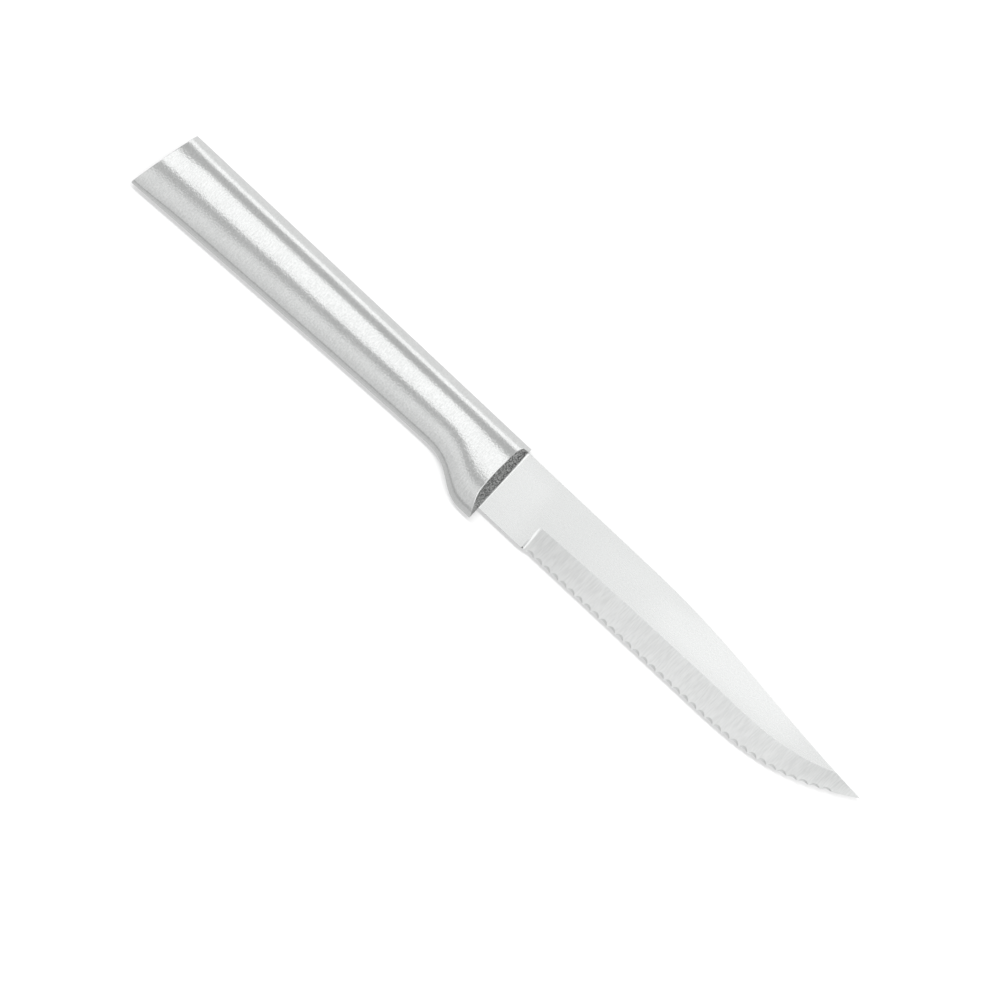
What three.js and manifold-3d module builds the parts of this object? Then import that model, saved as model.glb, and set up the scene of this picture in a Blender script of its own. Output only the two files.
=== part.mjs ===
// Steak knife: a serrated stainless blade with a hidden tang, held in a cast aluminium handle.
// Millimetres, +X to the tip, +Y to the spine, +Z up. The knife lies on the flank of its handle.
import * as THREE from 'three';
import { mergeVertices } from 'three/addons/utils/BufferGeometryUtils.js';
import Module from 'manifold-3d';

const wasm = await Module();
wasm.setup();

// Blade, from the front of the handle to the tip
const bladeLength = 98.4;
const bladeThickness = 1.3;
const heelHeight = 15.3;
const ricassoLength = 12.3;
const spineDropLength = 62.4;
const spineSwell = 23;
const spineSweep = 22.4;
const spineDip = 1.3;
const tipDrop = 5.25;
const bellyLength = 36.4;
const edgeRise = 0.4;
const bellySwell = 16.5;
const bellySweep = 11.4;
const bellyDip = 7.3;

// Ground bevel and scalloped edge
const bevelHeight = 5.9;
const bevelTipHeight = 4;
const edgeThickness = 0.3;
const scallopPitch = 2.3;
const scallopDepth = 0.75;
const toothWidth = 0.2;
const scallopLead = 2.1;
const scallopTipMargin = 5.5;

// Tang, hidden in the handle
const seatDepth = 4;
const tangHeight = 7.8;
const keyHoleDiameter = 3.6;
const keyHoleCount = 2;

// Handle, from its front to the butt
const gripLength = 98.4;
const gripThickness = 12.7;
const buttHeight = 16.4;
const buttSlant = 3.4;
const neckHeight = 13.8;
const neckSetback = 17;
const neckLead = 14;
const guardDrop = 2.95;
const guardLength = 2.6;
const flareNeckLead = 7.4;
const flareGuardLead = 6;
const crownHeight = 8.2;
const guardCrownHeight = 9.5;
const flankLand = 1.6;
const crownFullness = 2.5;
const gripBellyFullness = 1.95;
const guardBellyFullness = 1.8;
const spineCover = 0.55;
const buttCover = 34.4;
const frontRim = 0.35;
const frontSlope = THREE.MathUtils.degToRad(24.3);

// Fit of the cast metal round the tang
const castClearance = 0.3;

// Fineness of the facets
const outlineSegments = 20;
const grindSteps = 13;
const scallopSides = 20;
const keyHoleSides = 24;
const gripStations = 9;
const flareStations = 12;
const quarterPoints = 9;
const bisections = 30;

// How far a cut runs past what it cuts
const cutOver = 3;

// Closed meshes and booleans

function toSolid(geometry) {
  const bare = geometry.index ? geometry.toNonIndexed() : geometry.clone();
  bare.deleteAttribute('normal');
  bare.deleteAttribute('uv');
  const merged = mergeVertices(bare);
  return new wasm.Manifold(new wasm.Mesh({
    numProp: 3,
    vertProperties: Float32Array.from(merged.attributes.position.array),
    triVerts: Uint32Array.from(merged.index.array),
  }));
}

function toGeometry(solid) {
  const mesh = solid.getMesh();
  const geometry = new THREE.BufferGeometry();
  geometry.setAttribute('position', new THREE.BufferAttribute(mesh.vertProperties, 3));
  geometry.setIndex(new THREE.BufferAttribute(mesh.triVerts, 1));
  geometry.computeVertexNormals();
  return geometry;
}

// A closed skin over rings of points, with its end faces made of rungs from side to side.
function loft(rings) {
  const points = rings.flat();
  const sides = rings[0].length;
  const triangles = [];
  for (let ring = 0; ring < rings.length - 1; ring++) {
    for (let side = 0; side < sides; side++) {
      const next = (side + 1) % sides;
      const a = ring * sides + side;
      const b = ring * sides + next;
      triangles.push([a, b, b + sides], [a, b + sides, a + sides]);
    }
  }
  const last = points.length - sides;
  for (let right = 0, left = sides - 1; right + 1 < left; right++, left--) {
    triangles.push([right, left, right + 1], [last + right, last + right + 1, last + left]);
    if (right + 2 < left) {
      triangles.push([right + 1, left, left - 1], [last + right + 1, last + left - 1, last + left]);
    }
  }
  const corners = triangles.flat().map((index) => points[index]);
  return new THREE.BufferGeometry().setFromPoints(corners);
}

function plate(shape, thickness, curveSegments) {
  const settings = { depth: thickness, bevelEnabled: false, curveSegments };
  return new THREE.ExtrudeGeometry(shape, settings).translate(0, 0, -thickness / 2);
}

// Places that the two pieces share: x is 0 at the front of the handle, y is 0 on the straight spine,
// z is 0 in the middle of the blade

const handleTop = castClearance + spineCover;
const guardBottom = -heelHeight - guardDrop;
const tangLength = gripLength - buttCover;
const tangMiddle = handleTop - neckHeight / 2;

// Blade

const tip = new THREE.Vector2(bladeLength, -tipDrop);
const spineDropStart = bladeLength - spineDropLength;
const bellyStart = new THREE.Vector2(bladeLength - bellyLength, edgeRise - heelHeight);

const bellyCurve = new THREE.CubicBezierCurve(
  bellyStart,
  new THREE.Vector2(bellyStart.x + bellySwell, bellyStart.y),
  new THREE.Vector2(tip.x - bellySweep, tip.y - bellyDip),
  tip,
);

// Stamped outline of the blade and tang, or of the room that they need in the casting.
function blankShape(grow) {
  const shape = new THREE.Shape();
  shape.moveTo(-seatDepth - grow, grow);
  shape.lineTo(spineDropStart, grow);
  shape.bezierCurveTo(
    spineDropStart + spineSwell, grow,
    tip.x - spineSweep, tip.y + spineDip + grow,
    tip.x, tip.y + grow,
  );
  shape.bezierCurveTo(
    bellyCurve.v2.x, bellyCurve.v2.y - grow,
    bellyCurve.v1.x, bellyCurve.v1.y - grow,
    bellyStart.x, bellyStart.y - grow,
  );
  shape.lineTo(ricassoLength, -heelHeight - grow);
  shape.lineTo(-seatDepth - grow, -heelHeight - grow);
  const tangRadius = tangHeight / 2 + grow;
  shape.lineTo(-seatDepth - grow, tangMiddle - tangRadius);
  shape.absarc(-tangLength + tangHeight / 2, tangMiddle, tangRadius, -Math.PI / 2, Math.PI / 2, true);
  shape.lineTo(-seatDepth - grow, tangMiddle + tangRadius);
  return shape;
}

// Keys of cast metal, spread evenly along the tang.
function keyHoleCentres() {
  const pitch = (tangLength - seatDepth) / (keyHoleCount + 1);
  return Array.from({ length: keyHoleCount }, (_, hole) => -seatDepth - (hole + 1) * pitch);
}

function keyPin(x, radius, length) {
  return new THREE.CylinderGeometry(radius, radius, length, keyHoleSides)
    .rotateX(Math.PI / 2)
    .translate(x, tangMiddle, 0);
}

// The unscalloped edge at a distance from the handle, and its direction there.
function edgeAt(x) {
  if (x < bellyStart.x) {
    const plunge = new THREE.Vector2(ricassoLength, -heelHeight);
    const run = bellyStart.clone().sub(plunge);
    const point = plunge.clone().addScaledVector(run, (x - plunge.x) / run.x);
    return { point, along: run.normalize() };
  }
  let low = 0;
  let high = 1;
  for (let halving = 0; halving < bisections; halving++) {
    const middle = (low + high) / 2;
    if (bellyCurve.getPoint(middle).x < x) {
      low = middle;
    } else {
      high = middle;
    }
  }
  return { point: bellyCurve.getPoint(low), along: bellyCurve.getTangent(low) };
}

// Places along the edge, from the plunge line past the tip.
function edgeStations() {
  const stations = [{ ...edgeAt(ricassoLength), share: 0 }];
  for (let step = 0; step < grindSteps; step++) {
    const share = (step + 0.5) / grindSteps;
    stations.push({ point: bellyCurve.getPoint(share), along: bellyCurve.getTangent(share), share });
  }
  const along = bellyCurve.getTangent(1);
  stations.push({ point: tip.clone().addScaledVector(along, cutOver), along, share: 1 });
  return stations;
}

// The stone's path along one side: a three-sided bar that takes the bevel off the plate.
function grindCut(side) {
  const rings = edgeStations().map(({ point, along, share }) => {
    const inward = new THREE.Vector2(-along.y, along.x);
    const height = THREE.MathUtils.lerp(bevelHeight, bevelTipHeight, share);
    const slope = (bladeThickness - edgeThickness) / 2 / height;
    const at = (depth, z) => new THREE.Vector3(
      point.x + inward.x * depth,
      point.y + inward.y * depth,
      side * z,
    );
    const top = bladeThickness / 2 + slope * cutOver;
    const ring = [
      at(height + cutOver, top),
      at(-cutOver, top),
      at(-cutOver, edgeThickness / 2 - slope * cutOver),
    ];
    return side > 0 ? ring : ring.reverse();
  });
  return loft(rings);
}

// Round cuts at an even pitch along the edge, with a narrow tooth between each two.
function scallopCuts() {
  const first = ricassoLength + scallopLead;
  const last = bladeLength - scallopTipMargin;
  const cuts = [];
  for (let x = first; x <= last; x += scallopPitch) {
    const { point, along } = edgeAt(x);
    const chord = scallopPitch / along.x - toothWidth;
    const radius = (chord ** 2 / 4 + scallopDepth ** 2) / (2 * scallopDepth);
    const out = radius - scallopDepth;
    cuts.push(
      new THREE.CylinderGeometry(radius, radius, bladeThickness * 2, scallopSides)
        .rotateX(Math.PI / 2)
        .translate(point.x + along.y * out, point.y - along.x * out, 0),
    );
  }
  return cuts;
}

function makeBlade() {
  let solid = toSolid(plate(blankShape(0), bladeThickness, outlineSegments));
  const cuts = [
    grindCut(1),
    grindCut(-1),
    ...scallopCuts(),
    ...keyHoleCentres().map((x) => keyPin(x, keyHoleDiameter / 2, bladeThickness * 2)),
  ];
  for (const cut of cuts) {
    solid = solid.subtract(toSolid(cut));
  }
  return toGeometry(solid);
}

// Handle

// Under-line of the handle from the butt to its front: grip, neck, flare and guard.
function underLine() {
  const butt = new THREE.Vector2(-gripLength, handleTop - buttHeight);
  const neck = new THREE.Vector2(-neckSetback, handleTop - neckHeight);
  const guard = new THREE.Vector2(-guardLength, guardBottom);
  const lead = new THREE.Vector2(neck.x - neckLead, neck.y);
  const grip = new THREE.QuadraticBezierCurve(butt, lead, neck);
  const flare = new THREE.CubicBezierCurve(
    neck,
    new THREE.Vector2(neck.x + flareNeckLead, neck.y),
    new THREE.Vector2(guard.x - flareGuardLead, guard.y),
    guard,
  );
  return [
    ...grip.getPoints(gripStations).map((point) => ({ point, flared: 0 })),
    ...flare.getPoints(flareStations).slice(1).map((point, step) => (
      { point, flared: (step + 1) / flareStations }
    )),
    { point: new THREE.Vector2(0, guard.y), flared: 1 },
  ];
}

// One cross-section: a full crown, a flat land on each flank and a slimmer belly.
function section({ point, flared }) {
  const ease = THREE.MathUtils.smoothstep(flared, 0, 1);
  const crown = THREE.MathUtils.lerp(crownHeight, guardCrownHeight, ease);
  const belly = THREE.MathUtils.lerp(gripBellyFullness, guardBellyFullness, ease);
  const widest = handleTop - crown;
  const half = gripThickness / 2;
  const upper = crown - flankLand / 2;
  const lower = widest - point.y - flankLand / 2;
  const profile = [];
  const addArc = (rise, middle, fullness, from, to) => {
    for (let step = 0; step <= quarterPoints; step++) {
      const angle = THREE.MathUtils.lerp(from, to, step / quarterPoints) * Math.PI / 2;
      const y = middle + rise * Math.sin(angle) ** (2 / fullness);
      profile.push({ y, z: half * Math.abs(Math.cos(angle)) ** (2 / fullness) });
    }
  };
  addArc(upper, widest + flankLand / 2, crownFullness, 1, 0);
  addArc(-lower, widest - flankLand / 2, belly, 0, 1);
  const right = profile.map(({ y, z }) => new THREE.Vector3(point.x, y, z));
  const left = profile.slice(1, -1).reverse().map(({ y, z }) => new THREE.Vector3(point.x, y, -z));
  return [...right, ...left];
}

// The bevel from the front land back to one flank, as a bar along Y.
function frontCut(side) {
  const land = bladeThickness / 2 + castClearance + frontRim;
  const outer = gripThickness / 2 + cutOver;
  const run = Math.tan(frontSlope);
  const shape = new THREE.Shape();
  shape.moveTo(cutOver * run, side * (land - cutOver));
  shape.lineTo(cutOver * run, side * outer);
  shape.lineTo(-(outer - land) * run, side * outer);
  return plate(shape, handleTop - guardBottom + cutOver * 2, 1)
    .rotateX(Math.PI / 2)
    .translate(0, (handleTop + guardBottom) / 2, 0);
}

// The room for the blade's root and tang, with the keys left standing in it.
function tangRoom() {
  const thickness = bladeThickness + castClearance * 2;
  let room = toSolid(plate(blankShape(castClearance), thickness, outlineSegments));
  for (const x of keyHoleCentres()) {
    room = room.subtract(toSolid(keyPin(x, keyHoleDiameter / 2 - castClearance, thickness * 2)));
  }
  return room;
}

function makeHandle() {
  const rings = underLine().map(section);
  for (const corner of rings[0]) {
    corner.x += buttSlant * (corner.y - handleTop + buttHeight) / buttHeight;
  }
  const solid = toSolid(loft(rings))
    .subtract(toSolid(frontCut(1)))
    .subtract(toSolid(frontCut(-1)))
    .subtract(tangRoom());
  return toGeometry(solid);
}

// Assembly, with the origin under the middle of the knife's box

function makeMesh(name, geometry, finish) {
  const mesh = new THREE.Mesh(geometry, new THREE.MeshStandardMaterial(finish));
  mesh.name = name;
  return mesh;
}

const knife = new THREE.Group();
knife.add(makeMesh('blade', makeBlade(), { color: '#e6e7e6', roughness: 0.34, metalness: 1 }));
knife.add(makeMesh('handle', makeHandle(), { color: '#d9dbda', roughness: 0.38, metalness: 1 }));
knife.position.set(
  (gripLength - bladeLength) / 2,
  -(handleTop + guardBottom) / 2,
  gripThickness / 2,
);

export default knife;
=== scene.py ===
import math

import bmesh
import bpy
from mathutils import Matrix, Vector
from mathutils.geometry import tessellate_polygon


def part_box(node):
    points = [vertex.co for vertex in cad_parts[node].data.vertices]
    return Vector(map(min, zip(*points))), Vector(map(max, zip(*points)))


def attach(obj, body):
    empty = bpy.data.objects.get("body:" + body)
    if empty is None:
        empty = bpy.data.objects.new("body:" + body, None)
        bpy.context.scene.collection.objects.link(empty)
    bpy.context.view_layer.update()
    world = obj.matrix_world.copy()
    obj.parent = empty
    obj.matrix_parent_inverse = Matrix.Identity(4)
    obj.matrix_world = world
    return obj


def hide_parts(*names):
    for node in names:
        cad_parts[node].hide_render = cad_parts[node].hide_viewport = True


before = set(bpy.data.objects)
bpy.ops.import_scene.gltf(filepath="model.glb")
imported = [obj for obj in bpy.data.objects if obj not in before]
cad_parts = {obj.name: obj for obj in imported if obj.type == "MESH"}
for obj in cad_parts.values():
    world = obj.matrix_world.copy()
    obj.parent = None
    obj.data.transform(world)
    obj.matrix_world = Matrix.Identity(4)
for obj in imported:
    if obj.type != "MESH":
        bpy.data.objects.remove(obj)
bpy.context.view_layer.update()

scene = bpy.context.scene
mm = 0.001
print("frame loaded:", sorted(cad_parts))


# Sockets as values

class Wire:
    # a socket of a node tree that can be used in sums; with no socket it only adds nodes
    def __init__(self, tree, socket=None):
        self.tree = tree
        self.socket = socket

    # any node: its type, its settings, then the values or links of its sockets
    def node(self, kind, settings=None, sockets=None, out=0):
        made = self.tree.nodes.new("ShaderNode" + kind)
        for key, value in (settings or {}).items():
            setattr(made, key, value)
        for key, value in (sockets or {}).items():
            if isinstance(value, Wire):
                self.tree.links.new(value.socket, made.inputs[key])
            else:
                made.inputs[key].default_value = value
        return Wire(self.tree, made.outputs[out] if made.outputs else None)

    def maths(self, operation, first, second=0.0):
        return self.node("Math", {"operation": operation}, {0: first, 1: second})

    def __add__(self, other):
        return self.maths("ADD", self, other)

    def __radd__(self, other):
        return self.maths("ADD", other, self)

    def __sub__(self, other):
        return self.maths("SUBTRACT", self, other)

    def __rsub__(self, other):
        return self.maths("SUBTRACT", other, self)

    def __mul__(self, other):
        return self.maths("MULTIPLY", self, other)

    def __rmul__(self, other):
        return self.maths("MULTIPLY", other, self)

    # 0 below low, 1 above high, smooth between
    def rise(self, low, high):
        ends = {"Value": self, "From Min": low, "From Max": high}
        return self.node("MapRange", {"interpolation_type": "SMOOTHSTEP"}, ends)

    # from one colour at 0 to another at 1, each given as three numbers or as a wire
    def colour(self, start, end):
        one, two = (shade if isinstance(shade, Wire) else (*shade, 1) for shade in (start, end))
        return self.node("Mix", {"data_type": "RGBA"}, {0: self, 6: one, 7: two}, out=2)

    # one axis of a point, as a value
    def axis(self, name):
        return self.node("SeparateXYZ", None, {0: self}, out=name)

    # noise at a point that is in mm, with so many cells to the mm along each axis
    def grain(self, cells, detail=2.0, roughness=0.5):
        scaled = self.node("VectorMath", {"operation": "MULTIPLY"}, {0: self, 1: cells})
        sockets = {"Vector": scaled, "Scale": 1.0, "Detail": detail, "Roughness": roughness}
        return self.node("TexNoise", None, sockets)


def newFinish(name):
    material = bpy.data.materials.new(name)
    material.use_nodes = True
    material.node_tree.nodes.clear()
    return material, Wire(material.node_tree)


# where a point of the surface is, in mm from the front of the handle
def surfacePoint(nodes):
    place = nodes.node("TexCoord", out="Object")
    moved = nodes.node("VectorMath", {"operation": "SUBTRACT"}, {0: place, 1: origin})
    return nodes.node("VectorMath", {"operation": "SCALE"}, {0: moved, "Scale": 1 / mm})


# bare metal of a colour, with its bump depth in mm
def closeMetal(nodes, colour, roughness, height, depth):
    bump = nodes.node("Bump", None, {"Strength": 1.0, "Distance": depth * mm, "Height": height})
    sockets = {"Base Color": colour, "Roughness": roughness, "Metallic": 1.0, "Normal": bump}
    nodes.node("OutputMaterial", None, {"Surface": nodes.node("BsdfPrincipled", None, sockets)})


# Meshes from rows of points

class Skin:
    # points in mm from the front of the handle, the straight spine and the middle of the blade
    def __init__(self):
        self.points = []
        self.faces = []

    def add(self, points):
        first = len(self.points)
        self.points.extend(points)
        return list(range(first, len(self.points)))

    def face(self, corners, finish):
        self.faces.append((corners, finish))

    # faces between two rows of points
    def strip(self, rowA, rowB, finish, closed=False):
        count = len(rowA)
        for i in range(count if closed else count - 1):
            j = (i + 1) % count
            self.face((rowA[i], rowA[j], rowB[j], rowB[i]), finish)

    # a flat face inside the first loop, round the holes that the others are
    def plate(self, loops, finish):
        corners = [index for loop in loops for index in loop]
        flat = [[Vector(self.points[index]) for index in loop] for loop in loops]
        for triangle in tessellate_polygon(flat):
            self.face([corners[i] for i in triangle], finish)

    # one closed piece; edges are sharp between finishes and where faces meet at more than sharpAngle
    def build(self, name, finishes, sharpAngle, merge=1e-4):
        mesh = bpy.data.meshes.new(name)
        work = bmesh.new()
        vertices = [work.verts.new(origin + Vector(point) * mm) for point in self.points]
        for corners, finish in self.faces:
            unique = list(dict.fromkeys(corners))
            if len(unique) > 2:
                made = work.faces.new([vertices[i] for i in unique])
                made.material_index = finish
                made.smooth = True
        bmesh.ops.remove_doubles(work, verts=work.verts, dist=merge * mm)
        bmesh.ops.dissolve_degenerate(work, edges=work.edges, dist=merge * mm)
        bmesh.ops.recalc_face_normals(work, faces=work.faces)
        for edge in work.edges:
            if len(edge.link_faces) == 2:
                one, two = edge.link_faces
                bent = edge.calc_face_angle(0) > math.radians(sharpAngle)
                edge.smooth = one.material_index == two.material_index and not bent
        openEdges = sum(len(edge.link_faces) != 2 for edge in work.edges)
        volume = round(work.calc_volume() / mm**3, 1)
        print(name, "faces", len(work.faces), "volume mm3", volume, "open edges", openEdges)
        work.to_mesh(mesh)
        work.free()
        for finish in finishes:
            mesh.materials.append(finish)
        piece = bpy.data.objects.new(name, mesh)
        scene.collection.objects.link(piece)
        return piece


def mix(a, b, share):
    return a + (b - a) * share


def ease(share):
    share = min(1.0, max(0.0, share))
    return share * share * (3 - 2 * share)


# a point of a curve that is drawn by its corners
def curvePoint(corners, t):
    while len(corners) > 1:
        corners = [tuple(mix(a, b, t) for a, b in zip(p, q)) for p, q in zip(corners, corners[1:])]
    return corners[0]


# where a test that is true below some value stops being true
def lastTrue(test, low, high, halvings=40):
    for halving in range(halvings):
        middle = (low + high) / 2
        if test(middle):
            low = middle
        else:
            high = middle
    return low


# how far along a curve it passes a given x
def shareAtX(corners, x):
    return lastTrue(lambda share: curvePoint(corners, share)[0] < x, 0.0, 1.0)


# Blade, in mm

bladeShape = dict(
    thickness=1.3,
    heel=15.5,  # height at the handle
    edgeStart=15.28,  # height where the toothed edge starts
    ricasso=12.45,  # plain length before the bevel
    tip=(98.95, -5.2),
    spine=((36.0, 0.0), (59.0, 0.0), (76.0, -3.95)),  # corners of its curve to the tip
    belly=((62.0, -15.15), (78.8, -15.1), (87.2, -12.6)),
    chamfer=0.12,  # along the spine
    chamferMost=0.4,  # and at most this share of half the thickness
    heelChamfer=0.05,
    bevel=6.33,
    bevelStart=5.66,  # the bevel gets taller
    bevelGrowth=45.0,  # over this length
    bevelTaper=1.27,  # and lower again along the belly
    bevelAtTip=3.56,
    bevelEdge=0.3,  # thickness that the bevel leaves at the teeth
    bevelRows=5,
    plunge=0.66,  # width of the sloping step where the bevel starts
    plungeFoot=1.8,  # how much steeper it starts than it would as a plain slope
    plungeSteps=9,
    scallopPitch=2.3,
    scallopDepth=0.28,
    scallopFade=16.0,  # the cuts get shallower over this length before the last one
    scallopLeast=0.25,
    scallopLead=1.95,  # from the start of the bevel
    scallopEnd=5.5,  # from the last one to the tip
    scallopSteps=16,
    tooth=0.3,
    facet=0.1,  # between the cuts
    hollowShare=2.5,  # depth of the hollow facet, as a share of the cut
    facetKnee=(0.64, 0.5),  # it is hollow: so far from the edge it has risen only so much
    edge=0.07,  # thickness in the middle of a cut
    sharpFrom=0.65,  # from this share of its depth a cut is sharp
    ricassoSteps=7,
    tipSteps=14,
    tipCrowding=1.6,
    seat=4.0,  # full height inside the handle
    tangLength=64.0,
    tangHeight=7.8,
    tangMiddle=-6.05,
    lockHole=3.6,
    lockHoles=2,
    roundSides=40,
)
spineCorners = (*bladeShape["spine"], bladeShape["tip"])
bellyCorners = (*bladeShape["belly"], bladeShape["tip"])

# where the tang's sides meet the back of the blade
tangTop = bladeShape["tangMiddle"] + bladeShape["tangHeight"] / 2
tangBottom = bladeShape["tangMiddle"] - bladeShape["tangHeight"] / 2

# rows of points up one side: the facet ends at one, then the bevel, then the tang
facetRow = 2
bevelRow = facetRow + bladeShape["bevelRows"]
tangRow = bevelRow + 2


def spineHeight(x):
    if x <= spineCorners[0][0]:
        return 0.0
    return curvePoint(spineCorners, shareAtX(spineCorners, min(x, spineCorners[-1][0])))[1]


# share of the ground bevel at x: none before the plunge, then a slope that eases into it
def grindShare(x):
    passed = (x - bladeShape["ricasso"]) / bladeShape["plunge"] + 0.5
    left = 1 - min(1.0, max(0.0, passed))
    return 1 - left**bladeShape["plungeFoot"]


# smooth edge at x: point, inward direction, and how much of the belly is passed
def edgeAt(x, near=1e-4):
    if x < bellyCorners[0][0]:
        start, ground = Vector((bladeShape["ricasso"], -bladeShape["edgeStart"])), grindShare(x)
        run = Vector(bellyCorners[0]) - start
        toothed = start + run * ((x - start.x) / run.x)
        inward = Vector((0, 1)).lerp(Vector((-run.y, run.x)).normalized(), ground)
        return Vector((x, mix(-bladeShape["heel"], toothed.y, ground))), inward, 0.0
    share = shareAtX(bellyCorners, x)
    ahead = Vector(curvePoint(bellyCorners, min(1, share + near)))
    behind = Vector(curvePoint(bellyCorners, max(0, share - near)))
    run = ahead - behind
    return Vector(curvePoint(bellyCorners, share)), Vector((-run.y, run.x)).normalized(), share


# centre, slant, half chord and depth of every round cut along the edge
def scallopCuts():
    cuts = []
    pitch, least = bladeShape["scallopPitch"], bladeShape["scallopLeast"]
    x = bladeShape["ricasso"] + bladeShape["scallopLead"]
    last = bladeShape["tip"][0] - bladeShape["scallopEnd"]
    while x <= last:
        slant = edgeAt(x)[1].y
        half = (pitch / slant - bladeShape["tooth"]) / 2
        depth = mix(least, bladeShape["scallopDepth"], ease((last - x) / bladeShape["scallopFade"]))
        cuts.append((x, slant, half, depth))
        x += pitch
    return cuts


# height of a round arc over its chord, so far off its middle
def arcHeight(off, half, depth):
    radius = (half**2 + depth**2) / (2 * depth)
    return math.sqrt(radius**2 - off**2) - radius + depth


# depth of the cut edge at x, depth where its hollow facet ends, and how sharp it is there
def scallopDepths(x, cuts):
    cut, facet, sharp = 0.0, bladeShape["facet"], 0.0
    for centre, slant, half, depth in cuts:
        off = abs(x - centre) / slant
        if off < half:
            cut = arcHeight(off, half, depth)
            facet += arcHeight(off, half, depth * bladeShape["hollowShare"])
            sharp = ease(cut / depth / bladeShape["sharpFrom"])
    return cut, facet, sharp


# where the columns of points stand along the blade
def bladeStations(cuts):
    start = bladeShape["ricasso"] - bladeShape["plunge"] / 2
    back, steps = -bladeShape["seat"], bladeShape["ricassoSteps"]
    xs = [mix(back, start, step / steps) for step in range(steps)]
    steps = bladeShape["plungeSteps"]
    xs += [start + bladeShape["plunge"] * step / steps for step in range(steps + 1)]
    steps = bladeShape["scallopSteps"]
    for centre, slant, half, depth in cuts:
        xs += [centre - half * slant * math.cos(math.pi * step / steps) for step in range(steps + 1)]
    last, tip, steps = xs[-1], bladeShape["tip"][0], bladeShape["tipSteps"]
    xs += [mix(tip, last, (1 - step / steps)**bladeShape["tipCrowding"]) for step in range(1, steps + 1)]
    return xs


# one side of the blade at x, from the edge to the spine
def bladeColumn(x, cuts):
    half, thin = bladeShape["thickness"] / 2, bladeShape["bevelEdge"] / 2
    chamfer, heelChamfer = bladeShape["chamfer"], bladeShape["heelChamfer"]
    point, inward, passed = edgeAt(x)
    ground = grindShare(x)
    facetWidth = mix(heelChamfer, bladeShape["facet"], ground)
    cut, facet, sharp = scallopDepths(x, cuts) if ground == 1 else (0.0, facetWidth, 0.0)
    short = max(0.0, 1 - (x - bladeShape["ricasso"]) / bladeShape["bevelGrowth"])**2
    bevel = mix(bladeShape["bevel"], bladeShape["bevelStart"], short)
    bevel = mix(bevel, bladeShape["bevelAtTip"], passed**bladeShape["bevelTaper"])
    if x < 0:  # inside the handle the rows meet the tang instead
        bevel = tangBottom + bladeShape["heel"]

    def belowSpine(depth):
        at = point + inward * depth
        return at.y < spineHeight(at.x)

    def bevelZ(depth):
        return mix(half, min(half, mix(thin, half, depth / bevel)), ground)

    reach = lastTrue(belowSpine, 0.0, bladeShape["heel"] + 1)
    top = min(bevel, max(cut, reach - chamfer))
    facet = min(facet, top)
    edgeZ = mix(half - heelChamfer, mix(thin, bladeShape["edge"] / 2, sharp), ground)
    facetZ = mix(edgeZ, bevelZ(facet), min(1.0, (facet - cut) / facetWidth))
    knee, kneeRise = bladeShape["facetKnee"]
    kneeZ = mix(edgeZ, facetZ, mix(knee, kneeRise, sharp))
    rows = [(point + inward * cut, edgeZ), (point + inward * mix(cut, facet, knee), kneeZ)]
    rows.append((point + inward * facet, facetZ))
    for step in range(1, bladeShape["bevelRows"] + 1):
        depth = mix(facet, top, step / bladeShape["bevelRows"])
        rows.append((point + inward * depth, max(facetZ, bevelZ(depth))))

    crest, crestZ = rows[-1]
    roof, under = point + inward * reach, crest
    if top == bevel:
        roof = Vector((crest.x, spineHeight(crest.x)))
        under = roof - Vector((0, chamfer))
    tangShare = bladeShape["tangHeight"] / (-chamfer - tangBottom)
    for share in (tangShare / 2, tangShare, 1.0):
        rows.append((crest.lerp(under, share), crestZ))
    drop = min(chamfer, bladeShape["chamferMost"] * crestZ, reach)  # none is left at the very tip
    rows.append((roof, crestZ - drop))
    return [(at.x, at.y, z) for at, z in rows]


# half a turn round the tang's end, from its lower side to its upper side
def tangEnd(grow):
    half, sides = bladeShape["tangHeight"] / 2, bladeShape["roundSides"]
    x, y, radius = half - bladeShape["tangLength"], bladeShape["tangMiddle"], half + grow
    angles = [-math.pi / 2 - math.pi * step / sides for step in range(sides + 1)]
    return [(x + radius * math.cos(a), y + radius * math.sin(a)) for a in angles]


# the holes that lock the tang
def tangHoles(grow):
    radius, sides = bladeShape["lockHole"] / 2 + grow, bladeShape["roundSides"]
    pitch = (bladeShape["tangLength"] - bladeShape["seat"]) / (bladeShape["lockHoles"] + 1)
    angles = [math.tau * step / sides for step in range(sides)]
    loops = []
    for hole in range(bladeShape["lockHoles"]):
        x, y = -bladeShape["seat"] - pitch * (hole + 1), bladeShape["tangMiddle"]
        loops.append([(x + radius * math.cos(a), y + radius * math.sin(a)) for a in angles])
    return loops


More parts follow.
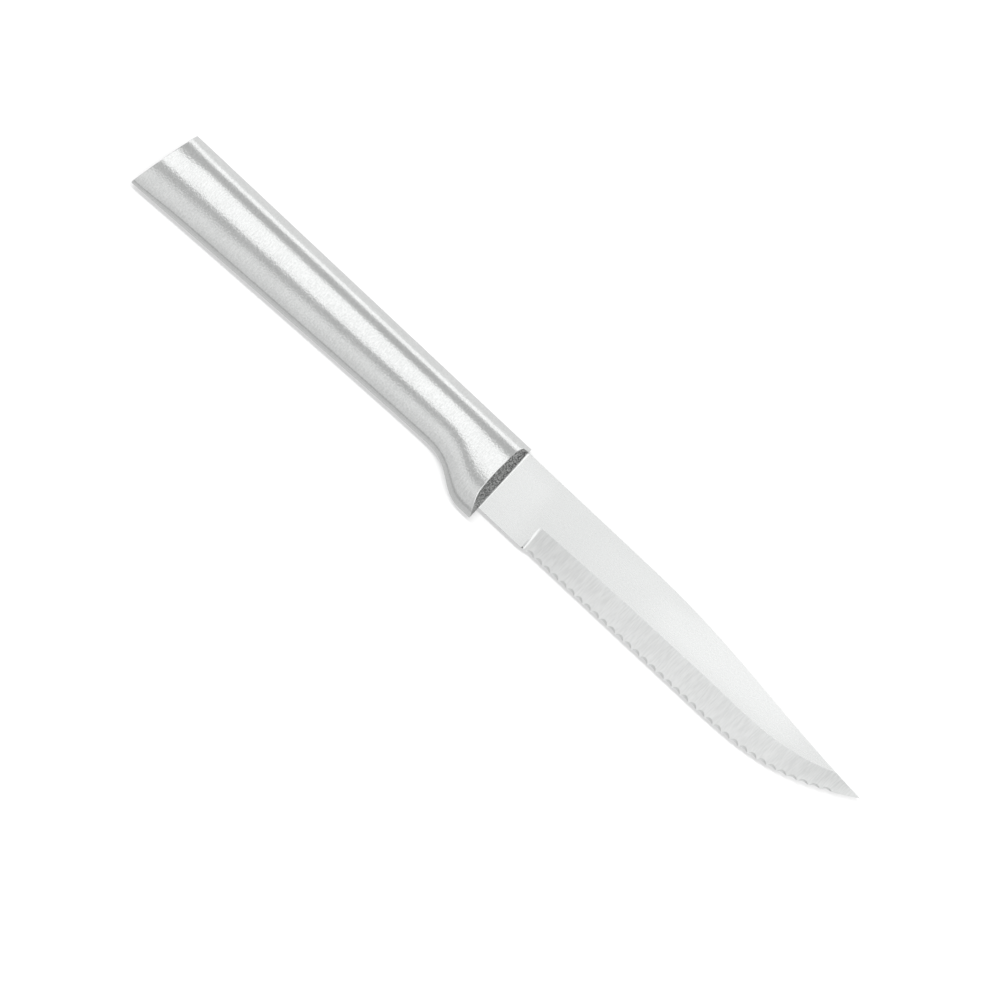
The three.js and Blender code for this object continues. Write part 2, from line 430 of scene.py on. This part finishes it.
def makeBlade(finishes):
    satin, ground, honed, hollow = range(4)
    slight = 1e-6
    skin = Skin()
    half = bladeShape["thickness"] / 2
    cuts = scallopCuts()
    xs = bladeStations(cuts)
    columns = []
    for x in xs:
        column = bladeColumn(x, cuts)
        columns.append((skin.add(column), skin.add([(px, py, -pz) for px, py, pz in column])))
    rows = len(columns[0][0])
    for i in range(len(columns) - 1):
        grinding = grindShare(xs[i + 1]) > slight
        plunging = grinding and grindShare(xs[i]) < 1 - slight
        hollowed = scallopDepths((xs[i] + xs[i + 1]) / 2, cuts)[0] > 0
        for side in (0, 1):
            one, two = columns[i][side], columns[i + 1][side]
            for row in range(rows - 1):
                finish = satin
                if grinding and row < bevelRow:
                    finish = honed if plunging else ground
                    if hollowed and row < facetRow:
                        finish = hollow
                skin.face((one[row], one[row + 1], two[row + 1], two[row]), finish)
        for row, finish in ((0, honed if grinding else satin), (-1, satin)):
            (oneUp, oneDown), (twoUp, twoDown) = columns[i], columns[i + 1]
            skin.face((oneUp[row], twoUp[row], twoDown[row], oneDown[row]), finish)

    upper, lower = columns[0]  # back of the root, above and below the tang
    skin.face(upper[:bevelRow + 1] + lower[bevelRow::-1], satin)
    skin.face(upper[tangRow:] + lower[:tangRow - 1:-1], satin)
    sides = []
    for z, root in ((half, upper), (-half, lower)):
        end = skin.add([(x, y, z) for x, y in tangEnd(0)])
        loops = [skin.add([(x, y, z) for x, y in hole]) for hole in tangHoles(0)]
        rim = [root[bevelRow]] + end + [root[tangRow]]
        skin.plate([rim + [root[bevelRow + 1]]] + loops, satin)
        sides.append((rim, loops))
    skin.strip(sides[0][0], sides[1][0], satin)
    for one, two in zip(sides[0][1], sides[1][1]):
        skin.strip(one, two, satin, closed=True)
    return skin.build("knifeBlade", finishes, sharpAngle=15)


# Handle, in mm

handleShape = dict(
    length=98.4,
    thickness=12.7,
    cover=0.85,  # handle metal above the spine
    butt=16.4,
    slant=3.4,
    slantReach=12.0,  # where the slant of the butt has died out along the grip
    neck=(-17.0, -12.95),  # where the grip's underside is highest
    neckLead=14.0,  # how far the curve from the butt leads into it
    flareLead=7.4,  # and the flare out of it
    guard=(-2.6, -18.25),
    guardLead=6.0,
    buttCrest=0.508,  # widest level, as a share of the height
    gripCrest=0.524,
    guardCrest=0.52,
    crown=(2.4, 2.4),  # fullness of its curve in height and in width
    buttCrown=(1.52, 2.92),
    buttReach=12.0,  # the butt has its own crown and a fuller belly over this length
    bellyLean=0.325,  # how far the flank has come in at the bottom, as a share of half the thickness
    guardBellyLean=0.476,
    bellyCurve=1.8,
    guardBellyCurve=2.3,
    bellyTurn=21.0,  # how late and how sharply the flank turns under
    buttTurn=40.0,
    buttRound=0.12,
    buttFlat=0.192,  # the flat of the butt starts so far in
    frontRound=0.12,
    frontSlope=22.4,
    frontAt=0.08,  # how far it stands out at the bottom
    frontLean=0.25,
    frontFlare=0.28,  # the front's bevel is so much wider at the spine
    frontFlareReach=5.0,
    frontEnd=(-0.16, 0.08),  # it ends between these heights
    frontFoot=6.0,  # it runs out over this height at the bottom of the guard
    frontFootCurve=1.8,
    fit=0.01,  # room round the root and tang
    coveFoot=0.2,  # height of the cast fillet on the front
    coveReach=0.22,  # its reach on to the blade
    coveBend=(0.1, 0.03),  # its corner: a share of the reach, and height over the blade
    coveMost=(0.8, 0.5),  # its foot and end where the front is narrow, as shares of the width
    gripSteps=70,
    gripCrowding=1.2,  # towards the butt
    flareSteps=90,
    rimSteps=(0.0, 0.35, 0.7, 1.0),  # rings between the guard and the front rim
    quarterSteps=48,
    crownCrowding=1.5,
    bellyCrowding=2,
    cornerSteps=4,
    facetRows=5,
    coveRows=6,
)
slotZ = bladeShape["thickness"] / 2 + handleShape["fit"]
slotTop = handleShape["fit"]
slotBottom = -bladeShape["heel"] - handleShape["fit"]
buttLow = handleShape["cover"] - handleShape["butt"]
neckX, neckY = handleShape["neck"]
guardX, guardY = handleShape["guard"]

# the underside's curve from the butt to the neck, and from there to the guard
underCorners = ((-handleShape["length"], buttLow), (neckX - handleShape["neckLead"], neckY), (neckX, neckY))
flareCorners = ((neckX, neckY), (neckX + handleShape["flareLead"], neckY),
                (guardX - handleShape["guardLead"], guardY), (guardX, guardY))

# the point that the shapes are measured from: handle front, straight spine, middle of the blade
handleLow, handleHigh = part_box("handle")
origin = Vector((handleHigh.x, handleHigh.y - handleShape["cover"] * mm, (handleLow.z + handleHigh.z) / 2))


# one half of a cross-section, from the top round the side to the bottom: y, z
def gripSection(bottom, crest, flared, fullness, turn):
    top, half, steps = handleShape["cover"], handleShape["thickness"] / 2, handleShape["quarterSteps"]
    crown = (top - bottom) * crest
    widest = top - crown
    lean = mix(handleShape["bellyLean"], handleShape["guardBellyLean"], flared)
    curve = mix(handleShape["bellyCurve"], handleShape["guardBellyCurve"], flared)
    points = [(top, 0.0)]
    for step in reversed(range(steps)):
        angle = math.pi / 2 * (1 - (1 - step / steps)**handleShape["crownCrowding"])
        rise, width = math.sin(angle)**(2 / fullness[0]), math.cos(angle)**(2 / fullness[1])
        points.append((widest + crown * rise, half * width))
    for step in range(1, steps):
        share = 1 - (1 - step / steps)**handleShape["bellyCrowding"]
        thick = (1 - lean * share**curve) * math.sqrt(1 - share**turn)
        points.append((mix(widest, bottom, share), half * thick))
    return points + [(bottom, 0.0)]


# x of the bevelled front at a height and a distance from the blade's middle
def frontX(y, z):
    up = (y - guardY) / (handleShape["cover"] - guardY)
    lean = handleShape["frontAt"] - handleShape["frontLean"] * up
    flare = 1 + handleShape["frontFlare"] * ease(1 + y / handleShape["frontFlareReach"])
    low, high = handleShape["frontEnd"]
    slope = math.tan(math.radians(handleShape["frontSlope"])) * flare * (1 - ease((y - low) / (high - low)))
    slope *= 1 - max(0.0, 1 - (y - guardY) / handleShape["frontFoot"])**handleShape["frontFootCurve"]
    return lean - max(0.0, z - slotZ) * slope


# x of the slanted butt at a height
def buttX(y):
    return -handleShape["length"] + handleShape["slant"] * (y - buttLow) / handleShape["butt"]


# half rings of the outside, from the butt to the front rim: x, y, z
def gripRings():
    rings = []
    back, fullness, turn = underCorners[0][0], handleShape["crown"], handleShape["bellyTurn"]
    gripCrest, guardCrest = handleShape["gripCrest"], handleShape["guardCrest"]
    for step in range(handleShape["gripSteps"]):
        share = (step / handleShape["gripSteps"])**handleShape["gripCrowding"]
        x, bottom = curvePoint(underCorners, share)
        slanted = 1 - ease((x - back) / handleShape["slantReach"])
        gone = ease((x - back) / handleShape["buttReach"])
        crown = [mix(one, two, gone) for one, two in zip(handleShape["buttCrown"], fullness)]
        crest = mix(handleShape["buttCrest"], gripCrest, (x - back) / (neckX - back))
        section = gripSection(bottom, crest, 0, crown, mix(handleShape["buttTurn"], turn, gone))
        rings.append([(x + (buttX(y) - back) * slanted, y, z) for y, z in section])
    for step in range(handleShape["flareSteps"]):
        share = step / handleShape["flareSteps"]
        x, bottom = curvePoint(flareCorners, share)
        crest = mix(gripCrest, guardCrest, ease(share))
        section = gripSection(bottom, crest, ease(share), fullness, turn)
        rings.append([(x, y, z) for y, z in section])
    front = gripSection(guardY, guardCrest, 1, fullness, turn)
    for share in handleShape["rimSteps"]:
        ring = []
        for y, z in front:
            ring.append((mix(guardX, frontX(y, z) - handleShape["frontRound"], share), y, z))
        rings.append(ring)
    return rings, front


# a rounded corner between two points, without its ends
def roundCorner(one, corner, two):
    steps = handleShape["cornerSteps"]
    return [curvePoint((one, corner, two), step / steps) for step in range(1, steps)]


# points of a section moved inwards, square to its outline
def inset(section, distance):
    moved = []
    last = len(section) - 1
    for i, (y, z) in enumerate(section):
        along = Vector(section[min(last, i + 1)]) - Vector(section[max(0, i - 1)])
        if i in (0, last):
            along = Vector((0, 1 if i == 0 else -1))
        along.normalize()
        moved.append((y - distance * along.y, max(0.0, z + distance * along.x)))
    return moved


# lines over the front, one for each point of its outline: rounded rim, cast bevel, fillet on to the blade
def frontLines(front):
    rimIn = inset(front, handleShape["frontRound"])
    levels = [y for y, z in rimIn]
    topRow = min(range(len(front)), key=lambda i: abs(levels[i] - slotTop))
    bottomRow = min(range(len(front)), key=lambda i: abs(levels[i] - slotBottom))
    levels[topRow], levels[bottomRow] = slotTop, slotBottom
    reach, rows, coveRows = handleShape["coveReach"], handleShape["facetRows"], handleShape["coveRows"]
    (bendX, bendZ), (footMost, edgeMost) = handleShape["coveBend"], handleShape["coveMost"]
    lines = []
    for (y, z), (yIn, zIn), level in zip(front, rimIn, levels):
        outer = (frontX(y, z) - handleShape["frontRound"], y, z)
        inner = (frontX(yIn, zIn), yIn, zIn)
        line = roundCorner(outer, (frontX(y, z), y, z), inner) + [inner]
        foot, edge = min(slotZ + handleShape["coveFoot"], footMost * zIn), min(slotZ, edgeMost * zIn)
        for step in range(1, rows + 1):
            at = (mix(yIn, level, step / rows), mix(zIn, foot, step / rows))
            line.append((frontX(*at), *at))
        inside = min(slotTop - level, level - slotBottom)
        swell = ease(inside / handleShape["coveFoot"])  # the fillet dies out at the spine and the heel
        cove = ((frontX(level, foot), foot), (bendX * reach, slotZ + bendZ), (reach, slotZ))
        for step in range(1, coveRows + 1):
            x, z = curvePoint(cove, step / coveRows)
            plainZ = mix(foot, edge, step / coveRows)
            line.append((mix(frontX(level, plainZ), x, swell), level, mix(plainZ, z, swell)))
        lines.append(line)
    return lines, topRow, bottomRow


def makeHandle(finishes):
    brushed, cast, sanded, polished = range(4)
    skin = Skin()

    # a half ring and its mirror image, as two rows of indices
    def addPair(ring):
        return skin.add(ring), skin.add([(x, y, -z) for x, y, z in ring])

    def joinPairs(one, two, finish, start=0, end=None):
        for side in (0, 1):
            skin.strip(one[side][start:end], two[side][start:end], finish)

    rings, front = gripRings()

    # butt: flat slanted face with a small rounding
    section = [(y, z) for x, y, z in rings[0]]
    flat = [(buttX(y), y, z) for y, z in inset(section, handleShape["buttFlat"])]
    inner = [(buttX(y), y, z) for y, z in inset(section, handleShape["buttRound"])]
    outer = [(x + handleShape["buttRound"], y, z) for x, y, z in rings[0]]
    corners = [roundCorner(a, b, c) for a, b, c in zip(inner, rings[0], outer)]
    rows = [addPair(flat), addPair(inner)]
    rows += [addPair(ring) for ring in zip(*corners)]
    rows.append(addPair(outer))
    joinPairs(rows[0], rows[1], sanded)
    for one, two in zip(rows[1:], rows[2:]):
        joinPairs(one, two, polished)
    skin.strip(rows[0][0], rows[0][1], sanded)

    # grip, neck, flare and guard
    last = rows[-1]
    for ring in rings[1:]:
        pair = addPair(ring)
        joinPairs(last, pair, brushed)
        last = pair

    # front
    lines, topRow, bottomRow = frontLines(front)
    rimEnd = handleShape["cornerSteps"] - 1
    facetEnd = rimEnd + handleShape["facetRows"]
    for i, ring in enumerate(zip(*lines)):
        pair = addPair(ring)
        if i > facetEnd:  # the fillet is polished along the blade only
            joinPairs(last, pair, cast, end=topRow + 1)
            joinPairs(last, pair, polished, topRow, bottomRow + 1)
            joinPairs(last, pair, cast, bottomRow)
        else:
            joinPairs(last, pair, cast if i > rimEnd else polished)
        last = pair
    for row in range(len(lines) - 1):  # land above the spine and below the heel
        if row < topRow or row >= bottomRow:
            skin.face((last[0][row], last[0][row + 1], last[1][row + 1], last[1][row]), cast)

    # pocket for the root and tang, with the cast keys left standing
    grow = handleShape["fit"]
    seat = -bladeShape["seat"] - grow
    outline = [(seat, slotBottom), (seat, tangBottom - grow), *tangEnd(grow),
               (seat, tangTop + grow), (seat, slotTop)]
    walls = []
    for side, z in ((0, slotZ), (1, -slotZ)):
        mouth = last[side][topRow:bottomRow + 1]
        back = skin.add([(x, y, z) for x, y in outline])
        loops = [skin.add([(x, y, z) for x, y in key]) for key in tangHoles(-grow)]
        skin.plate([mouth + back] + loops, cast)
        walls.append(([mouth[-1]] + back + [mouth[0]], loops))
    skin.strip(walls[0][0], walls[1][0], cast)
    for one, two in zip(walls[0][1], walls[1][1]):
        skin.strip(one, two, cast, closed=True)
    return skin.build("castHandle", finishes, sharpAngle=40)


# Finishes: tones are dark and bright, grains are cells to the mm along each axis, places are in mm,
# bumps are depths in mm. A tone takes up one of these parts of a noise's range.

narrowNoise = (0.36, 0.64)
wideNoise = (0.3, 0.7)

gripFinish = dict(
    strokes=(5.0, 0.5, 0.5),
    mottle=(3.2, 2.3, 2.3),
    cloud=(0.12, 0.2, 0.2),
    tones=((0.75, 0.76, 0.755), (0.85, 0.86, 0.855)),
    rough=0.26,
    bump=0.03,
)
buttFinish = dict(
    gripFinish,
    strokes=(0.4, 0.4, 5.0),
    mottle=(2.3, 2.3, 3.2),
    tones=((0.72, 0.73, 0.725), (0.82, 0.83, 0.825)),
)


# brushed aluminium: fine strokes, and the mottle that the brushing leaves
def brushedAluminium(name, finish):
    material, nodes = newFinish(name)
    point = surfacePoint(nodes)
    lines = point.grain(finish["strokes"], detail=3, roughness=0.6)
    mottle = point.grain(finish["mottle"], detail=1)
    cloud = point.grain(finish["cloud"])
    tone = (lines * 0.4 + mottle * 0.4 + cloud * 0.2).rise(*narrowNoise)
    height = mottle * 0.9 + lines * 0.1
    closeMetal(nodes, tone.colour(*finish["tones"]), finish["rough"] - 0.1 * lines, height, finish["bump"])
    return material


castFinish = dict(
    pits=(4.0, 2.6, 1.4),
    cloud=(0.5, 0.25, 0.5),
    contrast=(0.38, 0.64),
    # the skin tone is the rough cast skin, darkened by painted shade where the front faces the blade
    skin=((0.08, 0.08, 0.08), (0.56, 0.565, 0.56)),
    below=((0.4, 0.405, 0.4), (0.58, 0.585, 0.58)),  # painted reflection of the table: paler below the heel
    above=((0.66, 0.67, 0.665), (0.8, 0.81, 0.805)),  # and above the spine
    belowFade=(-0.25, 0.05),  # heights from the heel
    aboveFade=(-0.3, 0.1),  # and from the spine
    rough=0.6,
    bump=0.05,
)


# rough skin of the casting, darkened by painted shade over the blade's height, with a painted reflection of
# the table that makes it paler above the spine and below the heel
def castSkin(name):
    material, nodes = newFinish(name)
    point = surfacePoint(nodes)
    y = point.axis("Y")
    pits = point.grain(castFinish["pits"], roughness=0.6)
    cloud = point.grain(castFinish["cloud"])
    tone = (pits * 0.85 + cloud * 0.15).rise(*castFinish["contrast"])
    below, skin, above = (tone.colour(*castFinish[part]) for part in ("below", "skin", "above"))
    # painted reflection of the table: paler below the heel and above the spine
    colour = (y + bladeShape["heel"]).rise(*castFinish["belowFade"]).colour(below, skin)
    colour = y.rise(*castFinish["aboveFade"]).colour(colour, above)
    closeMetal(nodes, colour, castFinish["rough"] - 0.15 * pits, pits, castFinish["bump"])
    return material


rimFinish = dict(
    specks=(2.0, 2.0, 2.0),
    tones=((0.82, 0.83, 0.825), (0.88, 0.89, 0.885)),
    rough=0.14,
    bump=0.004,
)


# rims that brushing has rounded off
def polishedRim(name):
    material, nodes = newFinish(name)
    speck = surfacePoint(nodes).grain(rimFinish["specks"])
    colour = speck.rise(*wideNoise).colour(*rimFinish["tones"])
    closeMetal(nodes, colour, rimFinish["rough"] + 0.08 * speck, speck, rimFinish["bump"])
    return material


satinFinish = dict(
    specks=(1.0, 4.5, 4.5),
    specky=0.025,
    cloud=(0.05, 0.1, 0.1),
    cloudy=0.15,
    tones=((0.75, 0.76, 0.755), (0.87, 0.88, 0.875)),
    nearSpine=(-4.0, 0.0),
    # a painted highlight that brightens the flats along the blade, set in from these places
    paintedSheen=0.75,
    sheenFrom=((18.0, 42.0), (37.0, 47.0)),  # it sets in slowly, then quickly
    sheenLag=8.0,  # and so much later near the spine
    sheenLow=(6.2, 8.6),  # it is weaker below this depth
    root=(7.0, 12.0),  # painted light makes it paler up to here
    rootPaintedLight=0.33,
    tip=(74.0, 86.0),  # painted shade darkens it from here
    tipPaintedShade=0.7,
    rough=0.3,
    bump=0.00007,
)


# satin flats of the blade, with a painted highlight that is brightest before the tip, painted light near
# the root and painted shade towards the tip
def satinSteel(name):
    material, nodes = newFinish(name)
    point = surfacePoint(nodes)
    x, y = point.axis("X"), point.axis("Y")
    speck = point.grain(satinFinish["specks"], roughness=0.6)
    cloud = point.grain(satinFinish["cloud"])
    nearSpine = y.rise(*satinFinish["nearSpine"])
    late = x - satinFinish["sheenLag"] * nearSpine
    slow, quick = (late.rise(*ends) for ends in satinFinish["sheenFrom"])
    paintedSheen = (0.5 * slow + 0.5 * quick) * (1 - 0.3 * (0 - y).rise(*satinFinish["sheenLow"]))
    root = (1 - x.rise(*satinFinish["root"])) * (1 - 0.7 * nearSpine)
    tip = x.rise(*satinFinish["tip"])
    tone = speck.rise(*wideNoise) * satinFinish["specky"] + cloud.rise(*wideNoise) * satinFinish["cloudy"]
    tone = tone + paintedSheen * satinFinish["paintedSheen"] + root * satinFinish["rootPaintedLight"]
    tone = tone - tip * satinFinish["tipPaintedShade"]
    colour = tone.colour(*satinFinish["tones"])
    closeMetal(nodes, colour, satinFinish["rough"] - 0.05 * speck, speck, satinFinish["bump"])
    return material


edgeFinish = dict(
    lines=(6.0, 0.5, 0.5),
    tones=((0.8, 0.81, 0.805), (0.88, 0.89, 0.885)),
    rough=0.26,
    bump=0.001,
    nickFrom=(-0.17, 0.03),  # from where the toothed edge starts
    nickSquare=(0.008, 0.05),  # squares of its inner and outer radius
    # a dark spot of painted shade, for the shade in a small nick
    nickShade=(0.2, 0.2, 0.2),
)
hollowShadedFinish = dict(
    edgeFinish,
    # darker tones: painted shade in the hollows between the teeth
    tones=((0.65, 0.66, 0.655), (0.73, 0.74, 0.735)),
    rough=0.32,
)


# honed steel of the edge and of the step where the bevel starts, and of the hollows between teeth, which
# painted shade makes darker
def honedSteel(name, finish):
    material, nodes = newFinish(name)
    point = surfacePoint(nodes)
    lines = point.grain(finish["lines"])
    colour = lines.rise(*wideNoise).colour(*finish["tones"])
    nickX, nickY = finish["nickFrom"]
    aside = point.axis("X") - (bladeShape["ricasso"] + nickX)
    above = point.axis("Y") - (nickY - bladeShape["edgeStart"])
    off = (aside * aside + above * above).rise(*finish["nickSquare"])
    colour = off.colour(finish["nickShade"], colour)  # painted shade: a dark spot for a small nick where the bevel starts at the heel
    closeMetal(nodes, colour, finish["rough"] + 0.08 * lines, lines, finish["bump"])
    return material


groundFinish = dict(
    lines=(4.4, 0.4, 0.4),
    bands=(0.6, 0.05, 0.05),
    streaky=0.34,
    tones=((0.62, 0.63, 0.625), (0.92, 0.93, 0.925)),
    level=0.78,
    heel=(14.0, 34.0),  # painted shade darkens it up to here
    heelPaintedShade=0.24,
    tip=(76.0, 94.0),  # and from here
    tipPaintedShade=0.48,
    teeth=(-15.3, 0.00308, 0.000116),  # height of their line, and how it curves up along the belly
    teethNear=(-3.4, -0.6),  # from 3.4 down to 0.6 over that line a painted highlight makes it paler
    teethPaintedHighlight=(0.14, 0.06, -0.1, 0.2),  # by so much, and by what is added at the heel, belly and tip
    bellyFrom=(58.0, 72.0),
    pointFrom=(80.0, 92.0),
    rough=0.42,
    bump=0.006,
)


# ground bevel, with upright grinding lines, painted shade at the heel and tip and a painted highlight along
# the teeth
def groundSteel(name):
    material, nodes = newFinish(name)
    point = surfacePoint(nodes)
    x, y = point.axis("X"), point.axis("Y")
    lines = point.grain(groundFinish["lines"], roughness=0.6)
    bands = point.grain(groundFinish["bands"])
    streak = (lines * 0.8 + bands * 0.2).rise(*narrowNoise) - 0.5
    heel, tip = 1 - x.rise(*groundFinish["heel"]), x.rise(*groundFinish["tip"])
    height, bend, twist = groundFinish["teeth"]
    bellyX = bellyCorners[0][0]
    past = x.maths("MAXIMUM", x, bellyX) - bellyX
    teeth = past * past * (bend + twist * past) + height
    near = (teeth - y).rise(*groundFinish["teethNear"])
    # painted highlight along the teeth
    pale, atHeel, atBelly, atPoint = groundFinish["teethPaintedHighlight"]
    belly, tipEnd = x.rise(*groundFinish["bellyFrom"]), x.rise(*groundFinish["pointFrom"])
    pale = pale + atHeel * heel + atBelly * belly + atPoint * tipEnd
    tone = groundFinish["level"] - groundFinish["heelPaintedShade"] * heel - groundFinish["tipPaintedShade"] * tip
    tone = tone + streak * groundFinish["streaky"] + near * pale
    colour = tone.colour(*groundFinish["tones"])
    closeMetal(nodes, colour, groundFinish["rough"] - 0.1 * lines, lines, groundFinish["bump"])
    return material


blade = makeBlade([
    satinSteel("satinFlat"),
    groundSteel("groundBevel"),
    honedSteel("honedEdge", edgeFinish),
    honedSteel("hollowEdgeShaded", hollowShadedFinish),
])
handle = makeHandle([
    brushedAluminium("brushedGrip", gripFinish),
    castSkin("castFront"),
    brushedAluminium("sandedButt", buttFinish),
    polishedRim("polishedRim"),
])
for piece, node, slot in ((blade, "blade", "blade_steel"), (handle, "handle", "handle_aluminium")):
    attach(piece, "root")
    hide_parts(node)
print("pieces made:", blade.name, handle.name)


# Camera, straight above, turned so that the knife lies across the frame; lengths in mm

cameraView = dict(
    middle=(2.205, -2.52),
    level=6.35,
    frameWidth=207.04,
    distance=2000.0,
    turn=43.2,
    sensor=36.0,
    clip=(50.0, 20000.0),
)


def makeCamera():
    data = bpy.data.cameras.new("overhead")
    data.sensor_width = cameraView["sensor"]
    data.lens = cameraView["sensor"] * cameraView["distance"] / cameraView["frameWidth"]
    data.clip_start, data.clip_end = (length * mm for length in cameraView["clip"])
    camera = bpy.data.objects.new("overhead", data)
    x, y = cameraView["middle"]
    camera.location = Vector((x, y, cameraView["level"] + cameraView["distance"])) * mm
    camera.rotation_euler = (0, 0, math.radians(cameraView["turn"]))
    scene.collection.objects.link(camera)
    scene.camera = camera


# Studio, in metres: a long softbox overhead on the spine side with a wing towards the tip,
# a low card behind the spine and fills on both sides. Angles are in degrees from straight up.

studio = dict(
    panelLong=3.0,
    boxRadiance=0.7,
    boxHeight=1.0,
    boxFrom=-4.5,  # towards the spine
    boxTo=37.4,
    wingFrom=15.0,  # towards the tip
    wingTo=78.0,
    wingDrop=-38.0,  # past the box's near edge
    cardRadiance=0.74,
    cardAway=1.3,
    cardFrom=69.6,
    fillAway=1.3,
    fills=((21.5, 40.0, 0.38), (40.0, 68.0, 0.24), (-69.6, -37.4, 0.045)),  # towards the edge, radiance
    room=0.47,
    keyPower=23.0,
    keyAway=(-0.1, 0.19, 2.0),
    keyLong=0.64,
    keyWide=0.06,
)


# a flat lamp of an even radiance, facing a point
def addPanel(name, radiance, place, target, long, wide):
    data = bpy.data.lights.new(name, "AREA")
    data.shape = "RECTANGLE"
    data.size, data.size_y = long, wide
    data.energy = math.pi * long * wide * radiance
    lamp = bpy.data.objects.new(name, data)
    lamp.location = place
    back = (Vector(place) - Vector(target)).normalized()
    side = back.cross(Vector((1, 0, 0))).normalized()
    lamp.rotation_euler = Matrix((side.cross(back), side, back)).transposed().to_euler()
    lamp.visible_camera = False
    scene.collection.objects.link(lamp)
    return lamp


# a panel in the softbox's plane, between two angles along the knife and two across it
def addOverhead(name, fromX, toX, fromY, toY):
    high = studio["boxHeight"]
    lowX, highX, lowY, highY = (high * math.tan(math.radians(angle)) for angle in (fromX, toX, fromY, toY))
    x, y = (lowX + highX) / 2, (lowY + highY) / 2
    addPanel(name, studio["boxRadiance"], (x, y, high), (x, y, 0), highX - lowX, highY - lowY)


def makeLight():
    boxEnd = math.degrees(math.atan(studio["panelLong"] / 2 / studio["boxHeight"]))
    addOverhead("softbox", -boxEnd, boxEnd, studio["boxFrom"], studio["boxTo"])
    addOverhead("wing", studio["wingFrom"], studio["wingTo"], studio["wingDrop"], studio["boxFrom"])
    high = studio["cardAway"] / math.tan(math.radians(studio["cardFrom"]))
    place = (0, studio["cardAway"], high / 2)
    addPanel("card", studio["cardRadiance"], place, (0, 0, high / 2), studio["panelLong"], high)
    away = studio["fillAway"]
    for start, end, radiance in studio["fills"]:
        angle, spread = math.radians((start + end) / 2), math.radians((end - start) / 2)
        place = (0, -away * math.sin(angle), away * math.cos(angle))
        addPanel("fill", radiance, place, (0, 0, 0), studio["panelLong"], 2 * away * math.tan(spread))

    # a strip along the knife that lights the table, for the shadow; metal doesn't mirror it
    radiance = studio["keyPower"] / (math.pi * studio["keyLong"] * studio["keyWide"])
    key = addPanel("key", radiance, studio["keyAway"], (0, 0, 0), studio["keyLong"], studio["keyWide"])
    key.visible_glossy = False

    world = bpy.data.worlds.new("room")
    world.use_nodes = True
    world.node_tree.nodes.clear()
    nodes = Wire(world.node_tree)
    grey = studio["room"]
    walls = nodes.node("Background", None, {"Color": (grey, grey, grey, 1)})
    nodes.node("OutputWorld", None, {"Surface": walls})
    scene.world = world


# Table, in metres; its greys come in pairs that it changes between

tableLook = dict(
    size=3.0,
    cells=4,
    colour=(0.62, 0.42),  # painted light makes the shadow paler under the tip: less colour, more glow
    glow=(0.3, 0.54),
    tip=(0.078, 0.087),  # where that sets in
    shadedInMetal=(0.22, 0.37),  # painted shade: metal sees it darker, most on the edge side
    inMetalFade=0.02,
)


# a pale table that the camera sees as white, with the knife's shadow on it, painted light that makes the
# shadow paler under the tip, and painted shade where metal mirrors it
def makeFloor():
    material, nodes = newFinish("paleTable")
    rays = ("Is Camera Ray", "Is Glossy Ray", "Is Transmission Ray")
    seen, glossy, transmitted = (nodes.node("LightPath", out=ray) for ray in rays)
    mirrored = glossy + transmitted
    place = nodes.node("TexCoord", out="Object")

    def greys(factor, pair):
        return factor.colour(*((level, level, level) for level in pair))

    fade = tableLook["inMetalFade"]
    shadedInMetal = greys(place.axis("Y").rise(-fade, fade), tableLook["shadedInMetal"])
    # painted light under the tip: less colour and more glow, so the shadow is paler
    nearTip = place.axis("X").rise(*tableLook["tip"])
    colour = mirrored.colour(greys(nearTip, tableLook["colour"]), shadedInMetal)
    white = (seen + mirrored).colour((0, 0, 0), greys(nearTip, tableLook["glow"]))
    sockets = {"Base Color": colour, "Roughness": 1.0, "Specular IOR Level": 0.0,
               "Emission Color": white, "Emission Strength": 1.0}
    nodes.node("OutputMaterial", None, {"Surface": nodes.node("BsdfPrincipled", None, sockets)})
    mesh = bpy.data.meshes.new("table")
    work = bmesh.new()
    cells = tableLook["cells"]
    bmesh.ops.create_grid(work, x_segments=cells, y_segments=cells, size=tableLook["size"])
    work.to_mesh(mesh)
    work.free()
    mesh.materials.append(material)
    floor = bpy.data.objects.new("table", mesh)
    scene.collection.objects.link(floor)


makeCamera()
makeLight()
makeFloor()
scene.view_settings.view_transform = "Standard"
print("camera, light and table made")
